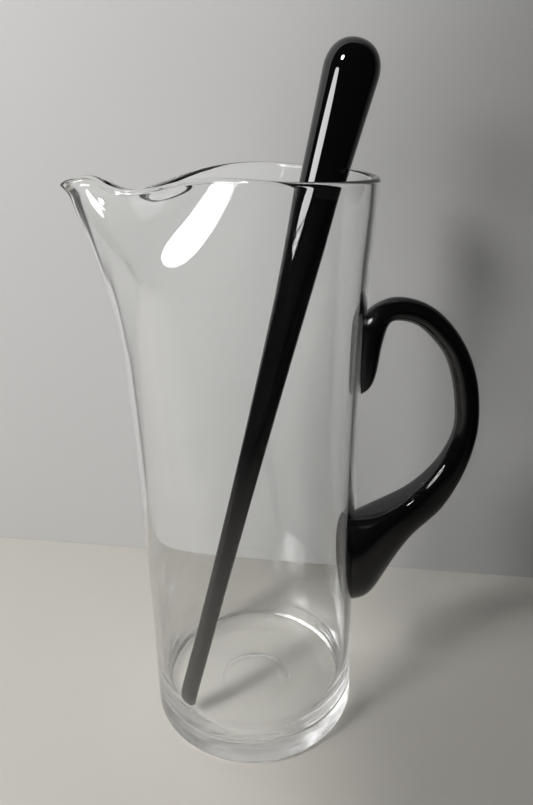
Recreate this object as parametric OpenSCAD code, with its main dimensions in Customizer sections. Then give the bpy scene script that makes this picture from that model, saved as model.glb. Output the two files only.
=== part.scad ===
// Tall cocktail pitcher of clear blown glass with a pulled pouring lip,
// an applied black glass handle and a loose black glass stirring rod.
// The origin is the centre of the foot, +Z is up, the handle is at +X and the lip at -X.

/* [Vessel] */
// Radius of the foot just above its rounded heel
foot_r = 50.4; // [46:0.1:56]
// Radius of the body at its slimmest
waist_r = 49.2; // [45:0.1:54]
// Height of the slimmest place
waist_z = 110; // [90:1:130]
// Radius of the rim behind the lip
rim_r = 53.7; // [50:0.1:58]
// Height of the rim above the handle
rim_z = 257; // [246:1:268]
// How much higher the plane of the rim is on the lip's side
rim_rise = 6.6; // [0:0.1:10]
// Thickness of the wall
wall_t = 3; // [2.4:0.1:4]
// Thickness of the solid glass floor
floor_t = 8.5; // [7:0.5:16]
// Radius of the rounding between wall and floor inside
corner_r = 5; // [4:0.5:10]
// How much thicker the wall is at the floor, where the glass gathered
foot_swell = 2.8; // [0:0.1:4.5]
// How far up the wall that thickness fades
foot_swell_h = 12; // [8:1:30]
// Radius of the rounded heel
heel_r = 3; // [1.5:0.5:5]
// Radius of the polished hollow under the foot
pontil_r = 18; // [12:0.5:24]
// Depth of that hollow
pontil_d = 1.6; // [0.8:0.1:3]

/* [Lip] */
// Reach of the lip's wall from the middle of the pitcher
lip_reach = 65.9; // [60:0.1:72]
// How far the last of the lip turns out past its wall
lip_flick = 1.9; // [0:0.1:3]
// Height at which the wall starts to lean out to the lip
lip_start_z = 190; // [170:1:215]
// How steeply the lip curls out, 1 is a straight slope
lip_curl = 1.6; // [1.2:0.1:2.4]
// How far below the rim the wall behind the lip starts to lean in
shoulder_h = 34; // [24:1:50]
// How far below the rim the pinch beside the lip starts
pinch_h = 21; // [17:1:30]
// How steeply the pinch curls in, 1 is a straight slope
pinch_curl = 1.5; // [1.1:0.1:2]
// Deepest dip of the rim beside the lip
rim_dip = 10.2; // [4:0.2:14]
// How much thicker the rim's rounded edge is round the lip
bead_swell = 1.3; // [0:0.1:1.8]
// How far down the wall that thickness fades
bead_h = 4; // [2:0.5:8]

/* [Handle] */
// Reach of the handle from the slimmest part of the wall
handle_reach = 55.3; // [48:0.5:64]
// Height of the lowest point of the handle
handle_low_z = 55.2; // [48:0.1:64]
// Height of the handle from its lowest to its highest point
handle_h = 153.3; // [140:0.1:164]
// Half the width of the handle's foot
handle_foot_w = 14; // [10:0.5:18]
// How deep the handle is fused into the wall
fuse = 0.25; // [0.1:0.05:0.6]

/* [Stirrer] */
// Length of the straight taper, from the middle of the tip to the widest part of the knob
taper_l = 295; // [270:0.5:310]
// Radius of the rounded tip
tip_r = 4.1; // [3:0.1:5.5]
// Radius of the knob
knob_r = 11.5; // [9:0.1:12.5]
// Height of the knob's dome
dome_h = 12.8; // [10:0.1:20]
// How full the dome is, 2 is a plain half round
dome_full = 2.3; // [2:0.1:3]
// How slowly the taper starts to widen, 1 is a straight cone
taper_curve = 2.06; // [1:0.02:3]
// Direction in which the stirrer leans, in degrees from the handle
lean_az = 31; // [20:0.5:45]
// How far the stirrer passes the middle of the pitcher
lean_offset = 2; // [0:0.1:6]
// Where in the rounded corner the tip rests, from 0 against the wall to 90 on the floor
seat_turn = 20; // [0:5:90]
// Clearance between the stirrer and the vessel
gap = 0.3; // [0.2:0.05:0.6]

/* [Hidden] */
glass_colour = [0.86, 0.90, 0.90, 0.45];
black_colour = [0.03, 0.03, 0.035];

// The lip's half of the rim, from the tip of the lip to the round part behind it. Each row has the
// share of lip_reach across, the share of rim_r to the side, the share of the half turn that the same
// glass takes up lower down, and the shares of rim_dip on the far side and on the near side.
rim_plan_shares = [
    [-1.000, 0.000, 0.000, 0.74, 0.74],
    [-0.978, 0.086, 0.028, 0.65, 0.65],
    [-0.930, 0.145, 0.055, 0.57, 0.56],
    [-0.863, 0.178, 0.083, 0.54, 0.50],
    [-0.767, 0.198, 0.121, 0.76, 0.65],
    [-0.679, 0.229, 0.157, 1.00, 0.81],
    [-0.575, 0.295, 0.208, 0.94, 0.77],
    [-0.442, 0.447, 0.284, 0.67, 0.55],
    [-0.295, 0.620, 0.368, 0.37, 0.24],
    [-0.147, 0.783, 0.444, 0.18, 0.06],
    [0.000, 0.902, 0.510, 0.06, 0.00],
];
// Share of the half turn at which the rim is round again
round_share = 0.583;
// Shares of the half turn between which the lip's form gives way to the shoulder's, and between which
// the thick edge gives way to the plain one
shoulder_from_share = 0.12;
shoulder_full_share = 0.30;
swell_from_share = 0.25;
swell_end_share = 0.50;
// Powers of the curves: the foot's spread below the waist, the wall's spread above it, the turn at the
// lip's edge, how close the lip's rings lie near it and how close the inside's rings lie near the floor
foot_power = 2;
wall_power = 2.2;
turn_power = 2;
lip_ring_power = 1.4;
inner_ring_power = 2;
// Steps between two rows of the table, and steps round the rest of the half turn
plan_steps = 2;
back_steps = 18;
lip_cols = len(rim_plan_shares) * plan_steps;
half_cols = lip_cols + back_steps;
ring_n = 2 * half_cols;
// Steps up the round part of the wall outside and inside, up the lip, over the rim's bead and along arcs
body_steps = 7;
inner_steps = 11;
lip_steps = 12;
bead_steps = 6;
arc_steps = 5;

// The handle from the end of its tail, up the wall, over the loop and down to its foot. Each row has
// the share across and up of the outer outline, then of the inner outline, the share of
// handle_foot_w to the side, and how flat the inner face is.
handle_shares = [
    [-0.020, 0.722, 0.040, 0.724, 0.16, 1.0],
    [-0.030, 0.744, 0.102, 0.746, 0.31, 1.0],
    [-0.030, 0.790, 0.142, 0.790, 0.40, 1.0],
    [-0.030, 0.853, 0.166, 0.853, 0.46, 1.0],
    [-0.020, 0.914, 0.192, 0.901, 0.48, 1.0],
    [0.045, 0.963, 0.210, 0.921, 0.47, 1.0],
    [0.170, 0.992, 0.236, 0.933, 0.44, 1.0],
    [0.291, 1.000, 0.297, 0.935, 0.40, 1.0],
    [0.445, 0.988, 0.387, 0.928, 0.38, 1.0],
    [0.604, 0.955, 0.488, 0.906, 0.38, 1.0],
    [0.756, 0.897, 0.608, 0.861, 0.38, 1.0],
    [0.872, 0.828, 0.694, 0.812, 0.38, 1.0],
    [0.951, 0.751, 0.760, 0.740, 0.38, 1.0],
    [0.991, 0.672, 0.796, 0.668, 0.38, 1.0],
    [1.000, 0.591, 0.804, 0.601, 0.39, 0.9],
    [0.966, 0.509, 0.760, 0.538, 0.43, 0.7],
    [0.902, 0.434, 0.680, 0.481, 0.48, 0.5],
    [0.794, 0.353, 0.568, 0.429, 0.54, 0.38],
    [0.674, 0.300, 0.438, 0.386, 0.62, 0.34],
    [0.508, 0.238, 0.308, 0.356, 0.73, 0.34],
    [0.342, 0.142, 0.186, 0.335, 0.86, 0.4],
    [0.198, 0.044, 0.087, 0.322, 0.96, 0.55],
    [0.075, 0.006, 0.010, 0.315, 1.00, 0.8],
    [-0.060, 0.000, -0.060, 0.309, 0.98, 0.9],
];
handle_steps = 3;
handle_sides = 24;
taper_steps = 24;
dome_steps = 9;
round_sides = 48;

// Radius of the outside of the body at a height
function body_r(z) = z < waist_z
    ? waist_r + (foot_r - waist_r) * pow((waist_z - z) / waist_z, foot_power)
    : waist_r + (rim_r - waist_r) * pow((z - waist_z) / (rim_z + rim_rise / 2 - waist_z), wall_power);
// Radius of the inside of the round part at a height
function inner_r(z) = body_r(z) - wall_t - foot_swell * exp(-pow((z - floor_t) / foot_swell_h, 2));
// Height of the plane of the rim above a place across the pitcher
function rim_plane(x) = rim_z + rim_rise * (rim_r - x) / (2 * rim_r);
// A smooth curve through the rows of a table, at row i and share u of the way to the next row
function smooth(a, b, c, d, u) =
    b + (c - a) * u / 2 + (2 * a - 5 * b + 4 * c - d) * u * u / 2 + (3 * b - a - 3 * c + d) * u * u * u / 2;
function row(table, i) = table[max(0, min(len(table) - 1, i))];
function through(table, i, u) =
    smooth(row(table, i - 1), row(table, i), row(table, i + 1), row(table, i + 2), u);
function unit(v) = v / norm(v);

// The rim's table in millimetres: across, to the side, share of the half turn, and height on a side
function rim_row(s, side) = [
    s[0] * lip_reach, s[1] * rim_r, s[2], rim_plane(s[0] * lip_reach) - rim_dip * (side > 0 ? s[3] : s[4])
];
// One round row behind the lip, at a share of the half turn
function round_row(t) = [-rim_r * cos(180 * t), rim_r * sin(180 * t), t, rim_plane(-rim_r * cos(180 * t))];
// The first row mirrored comes before the table, and two round rows close it
function rim_table(side) = concat(
    [let (r = rim_row(rim_plan_shares[1], -side)) [r[0], -r[1], -r[2], r[3]]],
    [for (s = rim_plan_shares) rim_row(s, side)],
    [round_row(round_share), round_row(round_share + (1 - round_share) / back_steps)]
);
function half_rim(side) = let (table = rim_table(side)) concat(
    [for (i = [0:lip_cols - 1]) through(table, 1 + floor(i / plan_steps), (i % plan_steps) / plan_steps)],
    [for (i = [0:back_steps]) round_row(round_share + (1 - round_share) * i / back_steps)]
);
// The whole rim, once round from the tip of the lip: far side first, then the near side back
rim_cols = let (far = half_rim(1), near = half_rim(-1)) concat(
    [for (i = [0:half_cols]) far[i]],
    [for (i = [half_cols - 1:-1:1]) [near[i][0], -near[i][1], -near[i][2], near[i][3]]]
);

// 0 up to the first value and 1 from the second on, with a smooth step between
function ease(low, high, v) = let (s = max(0, min(1, (v - low) / (high - low)))) s * s * (3 - 2 * s);
function shoulder(col) = ease(shoulder_from_share, shoulder_full_share, abs(col[2]));
function mix(a, b, share) = a + (b - a) * share;
// Share of the way from the round body to the plan of the rim, for a wall that leans from a height on
function lean(z, start, top, curl) = pow(max(0, z - start) / (top - start), curl);
shoulder_z = rim_z - shoulder_h;
pinch_z = rim_z - pinch_h;

// The outer skin leans from the round body to the plan of the rim: early across the pitcher, to form the
// lip, and late to the side, to form the pinch and the shoulder. It also turns out at the lip's tip.
flick_h_share = 1.5;
flick_h = wall_t * flick_h_share;
flick_power = 8;
function skin(col, z, top, r) = let (
    s = shoulder(col),
    u = lean(z, mix(lip_start_z, shoulder_z, s), top, mix(lip_curl, pinch_curl, s)),
    w = lean(z, mix(pinch_z, shoulder_z, s), top, pinch_curl),
    turn = pow(max(0, z - top + flick_h) / flick_h, turn_power)
        * pow(max(0, -col[0] / lip_reach), flick_power)
) [
    u * col[0] - (1 - u) * r * cos(180 * col[2]) - lip_flick * turn,
    w * col[1] + (1 - w) * r * sin(180 * col[2]), z
];
// A ring of it at a share of the way from lip_start_z up to the rim
function outer_ring(v) = [for (col = rim_cols) let (
    top = col[3] - wall_t / 2, z = lip_start_z + v * (top - lip_start_z)
) skin(col, z, top, body_r(z))];
// The same ring moved inwards, square to the plan, by each column's own depth, and up
function inward(ring, t, up) = [for (i = [0:ring_n - 1]) let (
    a = ring[(i + ring_n - 1) % ring_n], b = ring[(i + 1) % ring_n], n = unit([a[1] - b[1], b[0] - a[0]])
) ring[i] + [-t[i] * n[0], -t[i] * n[1], up]];
// Thickness of a column's edge, and of the wall a depth below it
function edge_t(col) = wall_t + bead_swell * (1 - ease(swell_from_share, swell_end_share, abs(col[2])));
function wall_at(col, depth) = wall_t + (edge_t(col) - wall_t) * exp(-depth * depth / (bead_h * bead_h));
function flat_ring(r, z) = [for (col = rim_cols) [-r * cos(180 * col[2]), r * sin(180 * col[2]), z]];

// Outlines of the round parts as radius and height: the hollow under the foot, the heel and the body
pontil_ball_r = (pontil_r * pontil_r + pontil_d * pontil_d) / (2 * pontil_d);
pontil_angle = asin(pontil_r / pontil_ball_r);
pontil_line = [for (k = [0:arc_steps]) let (a = pontil_angle * k / arc_steps)
    [pontil_ball_r * sin(a), pontil_d - pontil_ball_r * (1 - cos(a))]];
heel_line = [for (k = [0:arc_steps]) let (a = 90 * k / arc_steps)
    [body_r(heel_r) - heel_r + heel_r * sin(a), heel_r - heel_r * cos(a)]];
body_line = [for (k = [1:body_steps])
    let (z = heel_r + (lip_start_z - heel_r) * k / body_steps) [body_r(z), z]];
// The inside's rings lie closer together near the floor, where the wall is thick
inner_low_z = floor_t + corner_r;
inner_line = [for (k = [inner_steps - 1:-1:0]) let (
    z = inner_low_z + (lip_start_z - inner_low_z) * pow(k / inner_steps, inner_ring_power)
) [inner_r(z), z]];
corner_line = [for (k = [1:arc_steps]) let (a = 90 * k / arc_steps)
    [inner_r(inner_low_z) - corner_r * (1 - cos(a)), inner_low_z - corner_r * sin(a)]];

// Rings close together where the lip curls most, then over the rim's rounded edge and down inside
lip_vs = [for (k = [1:lip_steps]) 1 - pow(1 - k / lip_steps, lip_ring_power)];
rim_ring = outer_ring(1);
vessel_rings = concat(
    [for (p = concat(heel_line, body_line)) flat_ring(p[0], p[1])],
    [for (v = lip_vs) outer_ring(v)],
    [for (k = [1:bead_steps - 1]) let (a = 180 * k / bead_steps) inward(
        rim_ring, [for (col = rim_cols) edge_t(col) / 2 * (1 - cos(a))], wall_t / 2 * sin(a))],
    [for (k = [lip_steps - 1:-1:-1]) let (ring = outer_ring(k < 0 ? 0 : lip_vs[k])) inward(
        ring, [for (i = [0:ring_n - 1]) wall_at(rim_cols[i], rim_ring[i][2] - ring[i][2])], 0)],
    [for (p = concat(inner_line, corner_line)) flat_ring(p[0], p[1])]
);

// Faces over a stack of rings of n points each, with a flat cap on both ends
function ring_faces(count, n) = concat(
    [for (k = [0:count - 2], i = [0:n - 1]) let (
        a = k * n + i, b = k * n + (i + 1) % n, c = (k + 1) * n + (i + 1) % n, d = (k + 1) * n + i
    ) each [[a, b, c], [a, c, d]]],
    [[for (i = [n - 1:-1:0]) i], [for (i = [0:n - 1]) (count - 1) * n + i]]
);

// The hollow, cut a little past the foot's face
module pontil() {
    rotate_extrude($fn = ring_n) polygon(concat([[0, -pontil_d], [pontil_r, -pontil_d]], [
        for (k = [arc_steps:-1:0]) pontil_line[k]
    ]));
}

module glass_body() {
    color(glass_colour) difference() {
        polyhedron([for (ring = vessel_rings) each ring], ring_faces(len(vessel_rings), ring_n));
        pontil();
    }
}

// One ring of the handle: the outer and inner points of its outline and its half width
function handle_ring(s) = let (
    o = [waist_r + s[0] * handle_reach, handle_low_z + s[1] * handle_h],
    i = [waist_r + s[2] * handle_reach, handle_low_z + s[3] * handle_h],
    mid = (o + i) / 2, arm = (o - i) / 2, w = s[4] * handle_foot_w
) [for (k = [0:handle_sides - 1]) let (
    a = 360 * k / handle_sides, c = cos(a) < 0 ? -pow(-cos(a), s[5]) : cos(a)
) [mid[0] + arm[0] * c, w * sin(a), mid[1] + arm[1] * c]];
handle_rings = concat(
    [for (i = [0:len(handle_shares) - 2], k = [0:handle_steps - 1])
        handle_ring(through(handle_shares, i, k / handle_steps))],
    [handle_ring(handle_shares[len(handle_shares) - 1])]
);

// What the vessel's wall takes up, from the foot to above the handle, less the fused depth
module wall_core() {
    core_steps = 12;
    top_z = handle_low_z + handle_h;
    rotate_extrude($fn = round_sides) polygon(concat(
        [[0, 0]],
        [for (k = [0:core_steps]) let (z = top_z * k / core_steps) [body_r(z) - fuse, z]],
        [[0, top_z]]
    ));
}

module handle() {
    color(black_colour) difference() {
        polyhedron([for (ring = handle_rings) each ring], ring_faces(len(handle_rings), handle_sides));
        wall_core();
    }
}

function rod_r(s) = tip_r + (knob_r - tip_r) * pow(max(0, s) / taper_l, taper_curve);

// The stirrer stands in the rounded corner of the floor and leans on the rim's rounded edge
nest = max(0, corner_r - tip_r - gap);
tip_z = floor_t + max(tip_r + gap, corner_r - nest * sin(seat_turn));
tip_out = inner_r(inner_low_z) - max(corner_r, tip_r + gap) + nest * cos(seat_turn);
tip_u = -sqrt(tip_out * tip_out - lean_offset * lean_offset);
bead_out = rim_r - wall_t / 2;
bead_u = sqrt(bead_out * bead_out - lean_offset * lean_offset);
bead_z = rim_plane(rim_r * cos(lean_az)) - wall_t / 2;
rest_l = norm([bead_u - tip_u, bead_z - tip_z]);
lean_tilt = atan2(bead_u - tip_u, bead_z - tip_z) - asin((wall_t / 2 + gap + rod_r(rest_l)) / rest_l);

module stirrer() {
    tip = [for (k = [0:arc_steps - 1]) let (a = 90 * k / arc_steps) [tip_r * sin(a), -tip_r * cos(a)]];
    taper = [for (k = [0:taper_steps]) let (s = taper_l * k / taper_steps) [rod_r(s), s]];
    dome = [for (k = [1:dome_steps - 1]) let (a = 90 * k / dome_steps)
        [knob_r * pow(cos(a), 2 / dome_full), taper_l + dome_h * pow(sin(a), 2 / dome_full)]];
    top = [[0, taper_l + dome_h]];
    color(black_colour) rotate([0, 0, lean_az]) translate([tip_u, -lean_offset, tip_z])
        rotate([0, lean_tilt, 0]) rotate_extrude($fn = round_sides) polygon(concat(tip, taper, dome, top));
}

glass_body();
handle();
stirrer();
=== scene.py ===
# A tall cocktail pitcher of clear blown glass, with a black glass handle and a loose black stirring rod.
# It follows the order of making: the vessel, the handle laid on it, the rod stood in it. Lengths are in
# metres. The handle is at +X, the pouring lip at -X, and the foot stands on the floor at z = 0.
import math

import bpy
import numpy as np
from mathutils import Matrix, Vector


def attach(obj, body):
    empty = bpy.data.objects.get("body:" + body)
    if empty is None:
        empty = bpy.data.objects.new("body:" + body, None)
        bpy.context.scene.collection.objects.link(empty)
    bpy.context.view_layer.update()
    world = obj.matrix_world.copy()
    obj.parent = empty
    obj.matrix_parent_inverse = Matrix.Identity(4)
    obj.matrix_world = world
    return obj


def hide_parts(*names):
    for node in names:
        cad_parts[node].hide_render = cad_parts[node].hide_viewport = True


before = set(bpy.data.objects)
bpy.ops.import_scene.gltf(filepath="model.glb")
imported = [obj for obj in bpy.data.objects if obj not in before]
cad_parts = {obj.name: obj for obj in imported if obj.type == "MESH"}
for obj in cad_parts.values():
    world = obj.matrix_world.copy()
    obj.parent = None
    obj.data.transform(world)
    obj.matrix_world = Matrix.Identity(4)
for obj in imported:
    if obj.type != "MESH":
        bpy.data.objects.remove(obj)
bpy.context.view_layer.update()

# The vessel: one bubble of clear glass, blown tall on a thick floor and broken off its rod, where a shallow
# hollow is polished into the foot. The rim is fire polished to a round edge, and one side of it is pulled
# out and pinched into the pouring lip while it is soft.
foot_r = 0.0504
waist_r = 0.0492
waist_z = 0.110
rim_r = 0.0537
# The rim is drawn in a hair at the sides, where its finer curve stands prouder than the solid's
rim_side_r = 0.05365
rim_z = 0.257
rim_rise = 0.0066
wall_t = 0.003
floor_t = 0.0085
corner_r = 0.005
foot_swell = 0.0028
foot_swell_h = 0.012
heel_r = 0.003
pontil_r = 0.018
pontil_d = 0.0016
pontil_power = 4
lip_reach = 0.0659
lip_flick = 0.0019
lip_start_z = 0.190
lip_curl = 1.6
shoulder_h = 0.034
shoulder_start = 0.12
shoulder_end = 0.30
pinch_h = 0.021
pinch_curl = 1.5
bead_swell = 0.0013
bead_h = 0.004
rim_dip = 0.0102
# The body widens from its waist by these powers of the height: down to the foot, and up to the rim
foot_power = 2
wall_power = 2.2
# Over its last flick_h the edge turns out by lip_flick at the tip of the lip, and much less beside it
flick_h = 1.5 * wall_t
turn_power = 2
flick_power = 8
# From the tip of the lip to the round part behind it: the share of lip_reach across, the share of rim_side_r
# to the side, the share of the half turn, and the shares of rim_dip on the far side and on the near side
rim_plan_shares = [
    (-1.000, 0.000, 0.000, 0.74, 0.74),
    (-0.978, 0.086, 0.028, 0.65, 0.65),
    (-0.930, 0.145, 0.055, 0.57, 0.56),
    (-0.863, 0.178, 0.083, 0.54, 0.50),
    (-0.767, 0.198, 0.121, 0.76, 0.65),
    (-0.679, 0.229, 0.157, 1.00, 0.81),
    (-0.575, 0.295, 0.208, 0.94, 0.77),
    (-0.442, 0.447, 0.284, 0.67, 0.55),
    (-0.295, 0.620, 0.368, 0.37, 0.24),
    (-0.147, 0.783, 0.444, 0.18, 0.06),
    (0.000, 0.902, 0.510, 0.06, 0.00),
]
round_shares = (0.583, 0.64, 0.70, 0.76, 0.82, 0.88, 0.94)
# The bead of the rim is fullest round the lip, and fades between these shares of the half turn
bead_start = 0.25
bead_end = 0.5
columns = 384
foot_rings = 5
body_rings = 28
inner_rings = 50
lip_rings = 50
bead_rings = 14
arc_rings = 12
floor_rings = 10
# Rings crowd towards the rim, and inside towards the floor, by these powers
rim_crowding = 1.3
floor_crowding = 1.6
# Rows of the rim that are repeated a whole turn before and after, so that its curve closes smoothly
repeated = 6


def body_r(z):
    """Radius of the outside of the round body at a height."""
    low = waist_r + (foot_r - waist_r) * (np.maximum(waist_z - z, 0) / waist_z) ** foot_power
    top = rim_z + rim_rise / 2 - waist_z
    return low + (rim_r - waist_r) * (np.maximum(z - waist_z, 0) / top) ** wall_power


def inner_r(z):
    """Radius of the inside of the round body at a height. The wall is thicker at the floor."""
    return body_r(z) - wall_t - foot_swell * np.exp(-(((z - floor_t) / foot_swell_h) ** 2))


def rim_plane(x):
    """Height of the plane of the rim above a place across the pitcher."""
    return rim_z + rim_rise * (rim_r - x) / (2 * rim_r)


def spline(knots, rows, at):
    """A smooth curve through rows of values at the knots, read at other places along them."""
    k = np.asarray(knots, float)
    v = np.asarray(rows, float)
    h = np.diff(k)
    system = np.eye(len(k))
    right = np.zeros_like(v)
    for i in range(1, len(k) - 1):
        system[i, i - 1 : i + 2] = h[i - 1], 2 * (h[i - 1] + h[i]), h[i]
        right[i] = 6 * ((v[i + 1] - v[i]) / h[i] - (v[i] - v[i - 1]) / h[i - 1])
    bend = np.linalg.solve(system, right)
    i = np.clip(np.searchsorted(k, at, side="right") - 1, 0, len(h) - 1)
    step = h[i][:, None]
    a = (k[i + 1] - at)[:, None] / step
    b = 1 - a
    return a * v[i] + b * v[i + 1] + ((a**3 - a) * bend[i] + (b**3 - b) * bend[i + 1]) * step**2 / 6


def rim_columns():
    """The rim once round: place across and to the side, half turns from the lip, and height."""
    far, near = [], []
    for x, y, turn, far_dip, near_dip in rim_plan_shares:
        across = x * lip_reach
        aside = y * rim_side_r
        far.append((turn, across, aside, rim_plane(across) - rim_dip * far_dip))
        near.append((-turn, across, -aside, rim_plane(across) - rim_dip * near_dip))
    back = []
    for turn in (*round_shares, 1):
        across = -rim_r * math.cos(math.pi * turn)
        back.append((turn, across, rim_side_r * math.sin(math.pi * turn), rim_plane(across)))
    front = [(-t, x, -y, z) for t, x, y, z in reversed(back[:-1])]
    once = front + near[:0:-1] + far + back
    before = [(row[0] - 2, *row[1:]) for row in once[-repeated:]]
    after = [(row[0] + 2, *row[1:]) for row in once[:repeated]]
    rows = np.array(before + once + after)
    turns = np.arange(columns) * 2 / columns - 1 + 1 / columns
    plan = spline(rows[:, 0], rows[:, 1:3], turns)
    heights = spline(rows[:, 0], rows[:, 3:], turns)
    return np.column_stack([plan, turns, heights])


corner_z = floor_t + corner_r
corner_x = inner_r(corner_z) - corner_r
rim = rim_columns()
around = np.stack([-np.cos(math.pi * rim[:, 2]), np.sin(math.pi * rim[:, 2])], 1)


def flat_ring(r, z):
    """A level ring with a point for each column of the rim."""
    return np.column_stack([r * around, np.full(columns, z)])


def ease(low, high, value):
    """0 up to low and 1 from high on, with a smooth step between."""
    share = np.clip((value - low) / (high - low), 0, 1)
    return share * share * (3 - 2 * share)


# Under the lip the wall leans out from lip_start_z up, and past the lip's sides only from shoulder_h below
# the rim. The pinch draws it to the side from pinch_h below the rim.
shoulder = ease(shoulder_start, shoulder_end, np.abs(rim[:, 2]))
lean_start = lip_start_z + (rim_z - shoulder_h - lip_start_z) * shoulder
pinch_start = rim_z - pinch_h + (pinch_h - shoulder_h) * shoulder


def skin_ring(share):
    """A ring of the outer skin, a share of the way from lip_start_z up to the rim."""
    top = rim[:, 3] - wall_t / 2
    z = lip_start_z + share * (top - lip_start_z)
    curl = lip_curl + (pinch_curl - lip_curl) * shoulder
    across = (np.maximum(0, z - lean_start) / (top - lean_start)) ** curl
    aside = (np.maximum(0, z - pinch_start) / (top - pinch_start)) ** pinch_curl
    lean = np.stack([across, aside], 1)
    turn = (np.maximum(0, z - top + flick_h) / flick_h) ** turn_power
    turn = turn * np.maximum(0, -rim[:, 0] / lip_reach) ** flick_power
    plan = lean * rim[:, :2] + (1 - lean) * body_r(z)[:, None] * around
    plan[:, 0] -= lip_flick * turn
    return np.column_stack([plan, z])


def inward(ring, depth, up):
    """The same ring moved inwards, square to its plan, and up."""
    along = np.roll(ring, -1, 0) - np.roll(ring, 1, 0)
    out = np.stack([-along[:, 1], along[:, 0]], 1)
    out /= np.linalg.norm(out, axis=1)[:, None]
    moved = ring.copy()
    moved[:, :2] -= np.reshape(depth, (-1, 1)) * out
    moved[:, 2] += up
    return moved


def arc(count, start, end):
    """Angles in radians from start to end in degrees, without the first."""
    return np.radians(np.linspace(start, end, count + 1)[1:])


def ring_solid(name, rings, poles):
    """A closed mesh over a stack of rings, with a single point at each end."""
    count, n = len(rings), len(rings[0])
    points = np.concatenate([*rings, np.array(poles)])
    i = np.arange(n)
    j = (i + 1) % n
    sides = [np.stack([k + j, k + i, k + n + i, k + n + j], 1) for k in range(0, (count - 1) * n, n)]
    first = np.stack([i, j, np.full(n, count * n)], 1)
    last = np.stack([(count - 1) * n + j, (count - 1) * n + i, np.full(n, count * n + 1)], 1)
    mesh = bpy.data.meshes.new(name)
    mesh.from_pydata(points.tolist(), [], np.concatenate(sides).tolist() + first.tolist() + last.tolist())
    mesh.shade_smooth()
    made = bpy.data.objects.new(name, mesh)
    bpy.context.scene.collection.objects.link(made)
    return made


def vessel_rings():
    """From the hollow under the foot, out, up the wall, over the rim and down to the floor inside."""
    shares = np.linspace(0, 1, 2 * arc_rings + 1)[1:]
    rings = [flat_ring(pontil_r * v, pontil_d * (1 - v**pontil_power)) for v in shares]
    heel_in = body_r(heel_r) - heel_r
    rings += [flat_ring(r, 0) for r in np.linspace(pontil_r, heel_in, foot_rings + 1)[1:]]
    for a in arc(arc_rings, 0, 90):
        rings.append(flat_ring(heel_in + heel_r * math.sin(a), heel_r - heel_r * math.cos(a)))
    rings += [flat_ring(body_r(z), z) for z in np.linspace(heel_r, lip_start_z, body_rings + 1)[1:]]
    shares = 1 - (1 - np.linspace(0, 1, lip_rings + 1)[1:]) ** rim_crowding
    rings += [skin_ring(v) for v in shares]
    edge = skin_ring(1)
    swell = bead_swell * (1 - ease(bead_start, bead_end, np.abs(rim[:, 2])))
    for a in arc(bead_rings, 0, 180)[:-1]:
        rings.append(inward(edge, (wall_t + swell) / 2 * (1 - math.cos(a)), wall_t / 2 * math.sin(a)))
    for v in shares[::-1]:
        ring = skin_ring(v)
        fade = np.exp(-(((edge[:, 2] - ring[:, 2]) / bead_h) ** 2))
        rings.append(inward(ring, wall_t + swell * fade, 0))
    shares = np.linspace(1, 0, inner_rings + 1) ** floor_crowding
    rings += [flat_ring(inner_r(z), z) for z in corner_z + (lip_start_z - corner_z) * shares]
    for a in arc(arc_rings, 0, 90):
        rings.append(flat_ring(corner_x + corner_r * math.cos(a), corner_z - corner_r * math.sin(a)))
    rings += [flat_ring(r, floor_t) for r in np.linspace(corner_x, 0, floor_rings + 1)[1:-1]]
    return rings


vessel = ring_solid("vessel", vessel_rings(), [(0, 0, pontil_d), (0, 0, floor_t)])


class Tree:
    """A node tree being built. Each node comes from node(), which sets its settings first."""

    def __init__(self, tree):
        self.tree = tree

    def node(self, kind, settings=None, sockets=None):
        made = self.tree.nodes.new(kind)
        for name, value in (settings or {}).items():
            setattr(made, name, value)
        for name, value in (sockets or {}).items():
            if isinstance(value, Term):
                self.tree.links.new(value.socket, made.inputs[name])
            else:
                made.inputs[name].default_value = value
        return Term(self, made.outputs[0]) if made.outputs else made


class Term:
    """A node's output. Sums written with it add their Math nodes."""

    def __init__(self, tree, socket):
        self.tree = tree
        self.socket = socket

    def out(self, name):
        return Term(self.tree, self.socket.node.outputs[name])

    def math(self, operation, *others):
        return self.tree.node("ShaderNodeMath", {"operation": operation}, dict(enumerate((self, *others))))

    def __add__(self, other):
        return self.math("ADD", other)

    def __sub__(self, other):
        return self.math("SUBTRACT", other)

    def __mul__(self, other):
        return self.math("MULTIPLY", other)

    def __truediv__(self, other):
        return self.math("DIVIDE", other)

    def __pow__(self, other):
        return self.math("POWER", other)

    def __rsub__(self, other):
        return self.tree.node("ShaderNodeMath", {"operation": "SUBTRACT"}, {0: other, 1: self})

    def __rtruediv__(self, other):
        return self.tree.node("ShaderNodeMath", {"operation": "DIVIDE"}, {0: other, 1: self})

    __radd__ = __add__
    __rmul__ = __mul__

    def span(self, start, end, first=0.0, last=1.0, **settings):
        """The number first where this is at start, last where it is at end, and between them in between."""
        sockets = {0: self, 1: start, 2: end, 3: first, 4: last}
        return self.tree.node("ShaderNodeMapRange", settings, sockets)


def material(name):
    """A new material and its empty tree."""
    made = bpy.data.materials.new(name)
    made.use_nodes = True
    made.node_tree.nodes.clear()
    return made, Tree(made.node_tree)


def finish_material(tree, surface):
    """The end of a material's tree."""
    tree.node("ShaderNodeOutputMaterial", sockets={"Surface": surface})


ripple_depth = 0.00002
tooled_depth = 0.0003
tooled_from_z = 0.018
tooled_full_z = 0.004
worn_from_z = 0.002
worn_full_z = 0.0006
worn_roughness = 0.12
lamp_tint = (0.95, 0.95, 0.95, 1)
grazing_power = 4
foot_shadow = 0.5


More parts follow.
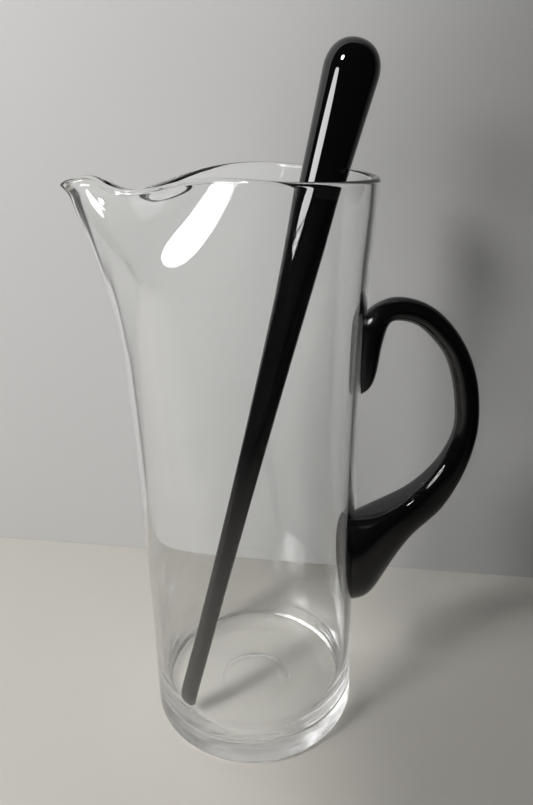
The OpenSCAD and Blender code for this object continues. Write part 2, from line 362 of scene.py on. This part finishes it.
def clear_glass():
    """Clear glass with the faint ripple of blowing, tool marks round its foot and a dull standing ring."""
    made, tree = material("clear_glass")
    place = tree.node("ShaderNodeTexCoord").out("Object")
    stretched = tree.node("ShaderNodeMapping", sockets={"Vector": place, "Scale": (1, 1, 0.25)})
    ripple = tree.node(
        "ShaderNodeTexNoise", sockets={"Vector": stretched, "Scale": 60, "Detail": 1.5, "Roughness": 0.4}
    )
    up = tree.node("ShaderNodeSeparateXYZ", sockets={0: place}).out("Z")
    banded = tree.node("ShaderNodeMapping", sockets={"Vector": place, "Scale": (0.12, 0.12, 1)})
    tooled = tree.node(
        "ShaderNodeTexNoise", sockets={"Vector": banded, "Scale": 450, "Detail": 2, "Roughness": 0.5}
    )
    low = up.span(tooled_full_z, tooled_from_z, 1.0, 0.0)
    first = tree.node(
        "ShaderNodeBump", sockets={"Height": ripple, "Strength": 1.0, "Distance": ripple_depth}
    )
    bump = tree.node(
        "ShaderNodeBump",
        sockets={"Height": tooled * low, "Strength": 1.0, "Distance": tooled_depth, "Normal": first},
    )
    glass = tree.node(
        "ShaderNodeBsdfPrincipled",
        sockets={
            "Base Color": (0.985, 0.99, 0.985, 1),
            "Roughness": up.span(worn_full_z, worn_from_z, worn_roughness, 0.0),
            "IOR": 1.5,
            "Transmission Weight": 1.0,
            "Normal": bump,
        },
    )
    # Lamps shine through, but less at a grazing angle and at the foot, so the glass casts a faint shadow
    clear = tree.node("ShaderNodeBsdfTransparent", sockets={"Color": lamp_tint})
    grazing = tree.node("ShaderNodeLayerWeight", sockets={"Blend": 0.5}).out("Facing")
    lamp_ray = tree.node("ShaderNodeLightPath").out("Is Shadow Ray")
    through = lamp_ray * (1 - grazing**grazing_power) * (1 - low * foot_shadow)
    finish_material(tree, tree.node("ShaderNodeMixShader", sockets={0: through, 1: glass, 2: clear}))
    return made


vessel.data.materials.append(clear_glass())
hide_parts("glass_body")
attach(vessel, "pitcher")

# The handle: one gather of black glass, drawn out and laid on the hot wall. Its tail lies down the wall,
# then the glass turns over in a tight bend, loops out and comes back to a broad foot pressed on the wall.
# The reach is a hair under the solid's, for the same reason as the rim's side
handle_reach = 0.05528
handle_low_z = 0.0552
handle_h = 0.1533
handle_foot_w = 0.014
fuse = 0.00025
# From the end of the tail to the foot: the shares across and up of the outer outline and of the inner
# outline, the share of handle_foot_w to the side, and the power that shapes the inner face. At 1 that face
# is round, and the lower the power, the flatter it is and the sharper the ridge down each side of it.
handle_shares = [
    (-0.020, 0.722, 0.040, 0.724, 0.16, 1.0),
    (-0.030, 0.744, 0.102, 0.746, 0.31, 1.0),
    (-0.030, 0.790, 0.142, 0.790, 0.40, 1.0),
    (-0.030, 0.853, 0.166, 0.853, 0.46, 1.0),
    (-0.020, 0.914, 0.192, 0.901, 0.48, 1.0),
    (0.045, 0.963, 0.210, 0.921, 0.47, 1.0),
    (0.170, 0.992, 0.236, 0.933, 0.44, 1.0),
    (0.291, 1.000, 0.297, 0.935, 0.40, 1.0),
    (0.445, 0.988, 0.387, 0.928, 0.38, 1.0),
    (0.604, 0.955, 0.488, 0.906, 0.38, 1.0),
    (0.756, 0.897, 0.608, 0.861, 0.38, 1.0),
    (0.872, 0.828, 0.694, 0.812, 0.38, 1.0),
    (0.951, 0.751, 0.760, 0.740, 0.38, 1.0),
    (0.991, 0.672, 0.796, 0.668, 0.38, 1.0),
    (1.000, 0.591, 0.804, 0.601, 0.39, 0.9),
    (0.966, 0.509, 0.760, 0.538, 0.43, 0.7),
    (0.902, 0.434, 0.680, 0.481, 0.48, 0.5),
    (0.794, 0.353, 0.568, 0.429, 0.54, 0.38),
    (0.674, 0.300, 0.438, 0.386, 0.62, 0.34),
    (0.508, 0.238, 0.308, 0.356, 0.73, 0.34),
    (0.342, 0.142, 0.186, 0.335, 0.86, 0.4),
    (0.198, 0.044, 0.087, 0.322, 0.96, 0.55),
    (0.075, 0.006, 0.010, 0.315, 1.00, 0.8),
    (-0.060, 0.000, -0.060, 0.309, 0.98, 0.9),
]
handle_rows = 14
handle_sides = 96
gloss_ripple_depth = 0.00001


def handle_ring(row):
    """One ring round the glass, from its outer outline to its inner one."""
    outer = np.array([waist_r + row[0] * handle_reach, handle_low_z + row[1] * handle_h])
    inner = np.array([waist_r + row[2] * handle_reach, handle_low_z + row[3] * handle_h])
    middle = (outer + inner) / 2
    arm = (outer - inner) / 2
    angle = np.arange(handle_sides) * 2 * math.pi / handle_sides
    c = np.cos(angle)
    c = np.where(c < 0, -np.abs(c) ** row[5], c)
    aside = row[4] * handle_foot_w * np.sin(angle)
    return np.stack([middle[0] + arm[0] * c, aside, middle[1] + arm[1] * c], 1)


def on_wall(points):
    """Points that lie in the wall, brought out to the depth at which the handle is fused to it."""
    r = np.hypot(points[:, 0], points[:, 1])
    core = body_r(points[:, 2]) - fuse
    moved = points.copy()
    moved[:, :2] *= np.maximum(core / r, 1)[:, None]
    return moved


def handle_rings():
    """The rings from the end of the tail to the foot, laid on the wall where they would sink into it."""
    places = np.linspace(0, len(handle_shares) - 1, (len(handle_shares) - 1) * handle_rows + 1)
    rows = spline(np.arange(len(handle_shares)), handle_shares, places)
    return [on_wall(handle_ring(row)) for row in rows]


rings = handle_rings()
handle = ring_solid("handle_loop", rings, [rings[0].mean(0), rings[-1].mean(0)])


def black_glass(name):
    """Opaque black glass, fire polished, with a trace of ripple in its gloss."""
    made, tree = material(name)
    place = tree.node("ShaderNodeTexCoord").out("Object")
    ripple = tree.node("ShaderNodeTexNoise", sockets={"Vector": place, "Scale": 90, "Detail": 2})
    bump = tree.node(
        "ShaderNodeBump", sockets={"Height": ripple, "Strength": 1.0, "Distance": gloss_ripple_depth}
    )
    surface = tree.node(
        "ShaderNodeBsdfPrincipled",
        sockets={"Base Color": (0.001, 0.001, 0.0012, 1), "Roughness": 0.02, "IOR": 1.52, "Normal": bump},
    )
    finish_material(tree, surface)
    return made


handle.data.materials.append(black_glass("black_glass"))
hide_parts("handle")
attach(handle, "pitcher")

# The stirrer: a rod of black glass drawn to a long taper, with a round tip and a domed knob. It is loose: it
# stands in the corner of the floor and leans on the rim.
tip_r = 0.0041
knob_r = 0.0115
taper_l = 0.295
taper_curve = 2.06
dome_h = 0.0128
dome_full = 2.3
lean_az = 31
lean_offset = 0.002
seat_turn = 20
gap = 0.0003
rod_rings = 181
rod_sides = 129
# Where the tip ends and the taper ends, as shares of the rod's rings, and how close points are merged
tip_end_share = 0.1
taper_end_share = 0.85
weld = 2e-6


def stirrer_tree():
    """A grid wrapped round the rod's outline: the round tip, then the taper, then the dome."""
    group = bpy.data.node_groups.new("stirrer", "GeometryNodeTree")
    for name, kind in [
        ("Tip radius", "NodeSocketFloat"),
        ("Knob radius", "NodeSocketFloat"),
        ("Taper length", "NodeSocketFloat"),
        ("Taper curve", "NodeSocketFloat"),
        ("Dome height", "NodeSocketFloat"),
        ("Dome fullness", "NodeSocketFloat"),
        ("Rings", "NodeSocketInt"),
        ("Sides", "NodeSocketInt"),
        ("Glass", "NodeSocketMaterial"),
    ]:
        group.interface.new_socket(name, in_out="INPUT", socket_type=kind)
    group.interface.new_socket("Geometry", in_out="OUTPUT", socket_type="NodeSocketGeometry")
    tree = Tree(group)
    given = tree.node("NodeGroupInput")
    size = {s.name: given.out(s.name) for s in given.socket.node.outputs if s.name}
    grid = tree.node(
        "GeometryNodeMeshGrid",
        sockets={"Size X": 1.0, "Size Y": 1.0, "Vertices X": size["Sides"], "Vertices Y": size["Rings"]},
    )
    place = tree.node("ShaderNodeSeparateXYZ", sockets={0: tree.node("GeometryNodeInputPosition")})
    turn = place.out("X") * (2 * math.pi)
    along = place.out("Y") + 0.5
    quarter = math.pi / 2
    tip_turn = (along / tip_end_share).math("MINIMUM", 1.0) * quarter
    taper = (along - tip_end_share) / (taper_end_share - tip_end_share)
    taper = taper.math("MAXIMUM", 0.0).math("MINIMUM", 1.0)
    dome_turn = ((along - taper_end_share) / (1 - taper_end_share)).math("MAXIMUM", 0.0) * quarter
    fullness = 2.0 / size["Dome fullness"]
    swell = (size["Knob radius"] - size["Tip radius"]) * taper ** size["Taper curve"]
    close = dome_turn.math("COSINE").math("MAXIMUM", 0.0) ** fullness
    radius = (size["Tip radius"] * tip_turn.math("SINE") + swell) * close
    rise = size["Dome height"] * dome_turn.math("SINE").math("MAXIMUM", 0.0) ** fullness
    height = size["Taper length"] * taper - size["Tip radius"] * tip_turn.math("COSINE") + rise
    shaped = tree.node(
        "ShaderNodeCombineXYZ",
        sockets={"X": radius * turn.math("COSINE"), "Y": radius * turn.math("SINE"), "Z": height},
    )
    wrapped = tree.node("GeometryNodeSetPosition", sockets={"Geometry": grid, "Position": shaped})
    closed = tree.node("GeometryNodeMergeByDistance", sockets={"Geometry": wrapped, "Distance": weld})
    smooth = tree.node("GeometryNodeSetShadeSmooth", sockets={"Geometry": closed, "Shade Smooth": True})
    real = tree.node("GeometryNodeRealizeInstances", sockets={"Geometry": smooth})
    dressed = tree.node("GeometryNodeSetMaterial", sockets={"Geometry": real, "Material": size["Glass"]})
    tree.node("NodeGroupOutput", sockets={"Geometry": dressed})
    return group


def from_tree(name, group, values):
    """A plain mesh object made by a geometry tree with these inputs."""
    maker = bpy.data.objects.new(name + "_maker", bpy.data.meshes.new(name + "_maker"))
    bpy.context.scene.collection.objects.link(maker)
    modifier = maker.modifiers.new("shape", "NODES")
    modifier.node_group = group
    for item in group.interface.items_tree:
        if item.in_out == "INPUT":
            modifier[item.identifier] = values[item.name]
    bpy.context.view_layer.update()
    evaluated = maker.evaluated_get(bpy.context.evaluated_depsgraph_get())
    mesh = bpy.data.meshes.new_from_object(evaluated)
    mesh.name = name
    bpy.data.objects.remove(maker)
    made = bpy.data.objects.new(name, mesh)
    bpy.context.scene.collection.objects.link(made)
    return made


stirrer = from_tree(
    "stirring_rod",
    stirrer_tree(),
    {
        "Tip radius": tip_r,
        "Knob radius": knob_r,
        "Taper length": taper_l,
        "Taper curve": taper_curve,
        "Dome height": dome_h,
        "Dome fullness": dome_full,
        "Rings": rod_rings,
        "Sides": rod_sides,
        "Glass": black_glass("black_rod_glass"),
    },
)
# The tip stands in the round corner of the floor, seat_turn below level, and the taper leans on the bead
nest = corner_r - tip_r - gap
tip_z = corner_z - nest * math.sin(math.radians(seat_turn))
tip_out = corner_x + nest * math.cos(math.radians(seat_turn))
tip_u = -math.sqrt(tip_out**2 - lean_offset**2)
bead_out = rim_r - wall_t / 2
bead_u = math.sqrt(bead_out**2 - lean_offset**2)
bead_z = rim_plane(rim_r * math.cos(math.radians(lean_az))) - wall_t / 2
rest_l = math.hypot(bead_u - tip_u, bead_z - tip_z)
rest_r = tip_r + (knob_r - tip_r) * (rest_l / taper_l) ** taper_curve
lean_tilt = math.atan2(bead_u - tip_u, bead_z - tip_z) - math.asin((wall_t / 2 + gap + rest_r) / rest_l)
stirrer.data.transform(
    Matrix.Rotation(math.radians(lean_az), 4, "Z")
    @ Matrix.Translation((tip_u, -lean_offset, tip_z))
    @ Matrix.Rotation(lean_tilt, 4, "Y")
)
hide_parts("stirrer")
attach(stirrer, "stirrer_rod")

# The table and a plain board behind it, both matt and pale, with a painted shade that dims them to the right
# as a soft shadow would. In gloss they are painted dark past the lit part of the table, and through glass
# the board is painted dark past its middle stretch, a painted reflection of the dark room round them. That
# draws the dark lines along the edges of the glass.
board_turn = -10.8
board_y = 0.110
board_half = 0.9
board_h = 0.9
floor_half = 1.6
floor_z = -0.0002
lit_near = 0.13
lit_far = 0.34
left_end = -0.175
right_end = 0.105
end_w = 0.04
shade_rise = 0.32
dark_depth = 0.96


def plain(name, colour, shade_from, shade_to, shade_low, through_gain, one_sided=False):
    """A matt pale paint with a painted shade that makes it dimmer from one place across to another. A
    one-sided sheet is clear from behind.
    """
    made, tree = material(name)
    place = tree.node("ShaderNodeSeparateXYZ", sockets={0: tree.node("ShaderNodeTexCoord").out("Object")})
    across, away, up = (place.out(axis) for axis in "XYZ")
    path = tree.node("ShaderNodeLightPath")
    mirrored = path.out("Glossy Depth").math("GREATER_THAN", 0.5)
    refracted = path.out("Transmission Depth").math("GREATER_THAN", 0.5)
    # Painted reflection of a dark room: in gloss the paint goes dark past the lit part of the table, and a
    # one-sided sheet also goes dark past its ends when seen through glass
    dark = across.span(lit_near, lit_far).math("MAXIMUM", away.span(-lit_near, -lit_far)) * mirrored
    if one_sided:
        past_left = across.span(left_end, left_end - end_w)
        past_right = across.span(right_end, right_end + end_w)
        dark = dark.math("MAXIMUM", past_left.math("MAXIMUM", past_right) * refracted)
    # Painted shade: the paint dims from shade_from to shade_to across, down to shade_low, and the dimming
    # starts further right higher up
    slant = across - up * shade_rise
    shade = slant.span(shade_from, shade_to, 1.0, shade_low, interpolation_type="SMOOTHSTEP")
    # Seen through glass the paint is scaled by 1 + through_gain: painted light on the board, painted shade
    # on the floor
    level = shade * (1 - dark * dark_depth) * (1 + refracted * through_gain)
    paint = tree.node("ShaderNodeVectorMath", {"operation": "SCALE"}, {0: colour, "Scale": level})
    surface = tree.node("ShaderNodeBsdfPrincipled", sockets={"Base Color": paint, "Roughness": 0.7})
    if one_sided:
        back = tree.node("ShaderNodeNewGeometry").out("Backfacing")
        clear = tree.node("ShaderNodeBsdfTransparent")
        surface = tree.node("ShaderNodeMixShader", sockets={0: back, 1: surface, 2: clear})
    finish_material(tree, surface)
    return made


def sheet(name, corners, paint):
    """A flat sheet of the stage over four corners."""
    mesh = bpy.data.meshes.new(name)
    mesh.from_pydata(corners, [], [(0, 1, 2, 3)])
    mesh.materials.append(paint)
    made = bpy.data.objects.new(name, mesh)
    bpy.context.scene.collection.objects.link(made)
    return made


sheet(
    "floor",
    [(x * floor_half, y * floor_half, floor_z) for x, y in ((-1, -1), (1, -1), (1, 1), (-1, 1))],
    plain(
        "floor_paint", (0.48, 0.46, 0.42), shade_from=-0.01, shade_to=0.08, shade_low=0.62, through_gain=-0.3
    ),
)
board = sheet(
    "board",
    [(-board_half, 0, 0), (board_half, 0, 0), (board_half, 0, board_h), (-board_half, 0, board_h)],
    plain(
        "board_paint",
        (0.49, 0.485, 0.48),
        shade_from=-0.096,
        shade_to=0.074,
        shade_low=0.57,
        through_gain=0.32,
        one_sided=True,
    ),
)
board.matrix_world = Matrix.Translation((0, board_y, 0)) @ Matrix.Rotation(math.radians(board_turn), 4, "Z")

# The light: a wide window on the left, a small one above it that isn't seen through the glass, and a faint
# room, which is pale low down where it is seen directly or through the glass.
lamp_distance = 1.2
lamp_power = 9.4
room_level = 0.03
low_room_level = 0.5
room_dim_from = 0.4
room_dim_to = 0.6


def lamp(name, azimuth, elevation, size, target=(0, 0, 0.15), through=True):
    """A soft round window, placed by its direction from the object. Azimuth 0 is the camera's side."""
    data = bpy.data.lights.new(name, "AREA")
    data.shape = "ELLIPSE"
    data.size, data.size_y = size
    data.energy = lamp_power
    made = bpy.data.objects.new(name, data)
    bpy.context.scene.collection.objects.link(made)
    a, e = math.radians(azimuth), math.radians(elevation)
    away = Vector((math.sin(a) * math.cos(e), -math.cos(a) * math.cos(e), math.sin(e)))
    made.location = Vector(target) + away * lamp_distance
    made.rotation_mode = "QUATERNION"
    made.rotation_quaternion = away.to_track_quat("Z", "Y")
    made.visible_transmission = through


lamp("window", -65, 22.5, (0.70, 0.40), target=(0.0, -0.02, 0.24))
lamp("high_window", -54, 49, (0.2, 0.2), through=False)

world = bpy.data.worlds.new("room")
bpy.context.scene.world = world
world.use_nodes = True
world.node_tree.nodes.clear()
tree = Tree(world.node_tree)
path = tree.node("ShaderNodeLightPath")
height = tree.node("ShaderNodeSeparateXYZ", sockets={0: tree.node("ShaderNodeTexCoord")}).out("Z")
seen = path.out("Glossy Depth").math("LESS_THAN", 0.5) * path.out("Diffuse Depth").math("LESS_THAN", 0.5)
level = room_level + seen * height.span(room_dim_from, room_dim_to, 1.0, 0.0) * low_room_level
room = tree.node("ShaderNodeBackground", sockets={"Color": (1, 0.99, 0.97, 1), "Strength": level})
tree.node("ShaderNodeOutputWorld", sockets={"Surface": room})

# The camera, where the photograph was taken from: a little above the rim, close in front. A ray of light may
# pass the many skins of the glass before it is given up.
camera_place = (0, -0.26615, 0.27815)
camera_pitch = 23.417
camera_yaw = 1.942
camera_roll = -1.093
camera_data = bpy.data.cameras.new("camera")
camera_data.sensor_width = 36
camera_data.lens = 29.516
camera_data.clip_start = 0.01
camera = bpy.data.objects.new("camera", camera_data)
bpy.context.scene.collection.objects.link(camera)
camera.matrix_world = (
    Matrix.Translation(camera_place)
    @ Matrix.Rotation(math.radians(-camera_yaw), 4, "Z")
    @ Matrix.Rotation(math.radians(90 - camera_pitch), 4, "X")
    @ Matrix.Rotation(math.radians(camera_roll), 4, "Z")
)
bpy.context.scene.camera = camera
bpy.context.scene.cycles.max_bounces = 32
bpy.context.scene.cycles.glossy_bounces = 16
bpy.context.scene.cycles.transmission_bounces = 24
bpy.context.scene.cycles.transparent_max_bounces = 24
bpy.context.scene.view_settings.view_transform = "Standard"
